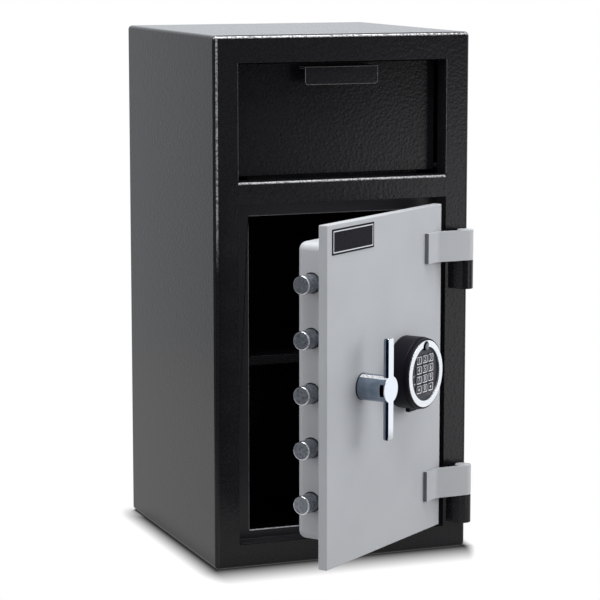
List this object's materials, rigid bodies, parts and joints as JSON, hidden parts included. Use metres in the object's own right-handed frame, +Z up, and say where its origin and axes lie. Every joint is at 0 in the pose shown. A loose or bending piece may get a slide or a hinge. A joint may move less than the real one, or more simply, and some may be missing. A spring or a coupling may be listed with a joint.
{
  "type": "drop safe with deposit drawer",
  "caption": "Steel depository safe with a tilting deposit hopper behind a recessed front, and a hinged door with sliding bolts, a handle and an electronic keypad lock.",
  "frame": {"origin": "centre of the underside of the cabinet floor", "axes": "+X to the right seen from the front, +Y from the front to the back, +Z up"},
  "size_m": [0.3575, 0.5401, 0.6922],
  "materials": {
    "black_paint": "textured powder coat, satin",
    "grey_paint": "fine textured powder coat, satin",
    "zinc": "zinc plated",
    "chrome": "polished",
    "steel": "plain",
    "lock_metal": "die cast",
    "silver_trim": "satin",
    "black_plastic": "satin",
    "key_rubber": "matte"
  },
  "bodies": {
    "cabinet": {"body_shell": "black_paint", "back_panel": "black_paint", "door_frame": "black_paint", "hopper_frame": "black_paint", "chute_plate": "black_paint", "fishing_baffle": "black_paint", "shelf": "black_paint", "shelf_support_left": "black_paint", "shelf_support_right": "black_paint", "hinge_knuckle_upper": "black_paint", "hinge_knuckle_lower": "black_paint", "hinge_pin_upper": "steel", "hinge_pin_lower": "steel", "hopper_rod": "zinc", "rod_bracket_left": "black_paint", "rod_bracket_right": "black_paint"},
    "hopper": {"hopper_front": "black_paint", "hopper_bin": "black_paint", "hopper_handle": "black_paint"},
    "door": {"door_plate": "grey_paint", "hinge_strap_upper": "grey_paint", "hinge_strap_lower": "grey_paint", "bolt_pan": "grey_paint", "bolt_guide": "steel", "dead_bar": "zinc", "lock_case": "lock_metal", "spindle_bush": "steel", "keypad_housing": "black_plastic", "keypad_ring": "silver_trim", "keypad_face": "black_plastic", "keypad_contact": "silver_trim"},
    "boltwork": {"bolt_bar": "steel", "bolt_1": "zinc", "bolt_2": "zinc", "bolt_3": "zinc", "bolt_4": "zinc", "bolt_5": "zinc", "link_plate": "steel"},
    "handle": {"door_handle": "chrome", "handle_spindle": "steel", "crank_cam": "steel"},
    "lock": {"lock_bolt": "zinc"},
    "battery": {"battery_drawer": "black_plastic"},
    "key_1": {"key_1": "key_rubber"},
    "key_2": {"key_2": "key_rubber"},
    "key_3": {"key_3": "key_rubber"},
    "key_4": {"key_4": "key_rubber"},
    "key_5": {"key_5": "key_rubber"},
    "key_6": {"key_6": "key_rubber"},
    "key_7": {"key_7": "key_rubber"},
    "key_8": {"key_8": "key_rubber"},
    "key_9": {"key_9": "key_rubber"},
    "key_left": {"key_left": "key_rubber"},
    "key_0": {"key_0": "key_rubber"},
    "key_right": {"key_right": "key_rubber"}
  },
  "joints": [
    {"name": "door_swing", "type": "hinge", "parent": "cabinet", "child": "door", "pos_m": [0.169, -0.192, 0.252], "axis": [0, 0, 1], "range_deg": [-36.5, 143.5]},
    {"name": "hopper_tilt", "type": "hinge", "parent": "cabinet", "child": "hopper", "pos_m": [0, -0.135, 0.513], "axis": [1, 0, 0], "range_deg": [0, 45]},
    {"name": "handle_turn", "type": "hinge", "parent": "door", "child": "handle", "pos_m": [-0.02576, -0.30874, 0.256], "axis": [-0.5948, 0.8039, 0], "range_deg": [0, 90]},
    {"name": "boltwork_slide", "type": "slide", "parent": "door", "child": "boltwork", "axis": [0.8039, 0.5948, 0], "range_m": [0, 0.025]},
    {"name": "lock_bolt_slide", "type": "slide", "parent": "door", "child": "lock", "axis": [0, 0, -1], "range_m": [0, 0.009]},
    {"name": "battery_slide", "type": "slide", "parent": "door", "child": "battery", "axis": [0, 0, -1], "range_m": [0, 0.04]},
    {"name": "key_1_press", "type": "slide", "parent": "door", "child": "key_1", "axis": [-0.5948, 0.8039, 0], "range_m": [0, 0.001], "stiffness_N_per_m": 800},
    {"name": "key_2_press", "type": "slide", "parent": "door", "child": "key_2", "axis": [-0.5948, 0.8039, 0], "range_m": [0, 0.001], "stiffness_N_per_m": 800},
    {"name": "key_3_press", "type": "slide", "parent": "door", "child": "key_3", "axis": [-0.5948, 0.8039, 0], "range_m": [0, 0.001], "stiffness_N_per_m": 800},
    {"name": "key_4_press", "type": "slide", "parent": "door", "child": "key_4", "axis": [-0.5948, 0.8039, 0], "range_m": [0, 0.001], "stiffness_N_per_m": 800},
    {"name": "key_5_press", "type": "slide", "parent": "door", "child": "key_5", "axis": [-0.5948, 0.8039, 0], "range_m": [0, 0.001], "stiffness_N_per_m": 800},
    {"name": "key_6_press", "type": "slide", "parent": "door", "child": "key_6", "axis": [-0.5948, 0.8039, 0], "range_m": [0, 0.001], "stiffness_N_per_m": 800},
    {"name": "key_7_press", "type": "slide", "parent": "door", "child": "key_7", "axis": [-0.5948, 0.8039, 0], "range_m": [0, 0.001], "stiffness_N_per_m": 800},
    {"name": "key_8_press", "type": "slide", "parent": "door", "child": "key_8", "axis": [-0.5948, 0.8039, 0], "range_m": [0, 0.001], "stiffness_N_per_m": 800},
    {"name": "key_9_press", "type": "slide", "parent": "door", "child": "key_9", "axis": [-0.5948, 0.8039, 0], "range_m": [0, 0.001], "stiffness_N_per_m": 800},
    {"name": "key_left_press", "type": "slide", "parent": "door", "child": "key_left", "axis": [-0.5948, 0.8039, 0], "range_m": [0, 0.001], "stiffness_N_per_m": 800},
    {"name": "key_0_press", "type": "slide", "parent": "door", "child": "key_0", "axis": [-0.5948, 0.8039, 0], "range_m": [0, 0.001], "stiffness_N_per_m": 800},
    {"name": "key_right_press", "type": "slide", "parent": "door", "child": "key_right", "axis": [-0.5948, 0.8039, 0], "range_m": [0, 0.001], "stiffness_N_per_m": 800}
  ],
  "couplings": [
    {"joint": "handle_turn", "follows": "boltwork_slide", "rad_per_m": 62.831},
    {"joint": "lock_bolt_slide", "follows": "boltwork_slide", "ratio": 0.3599}
  ]
}
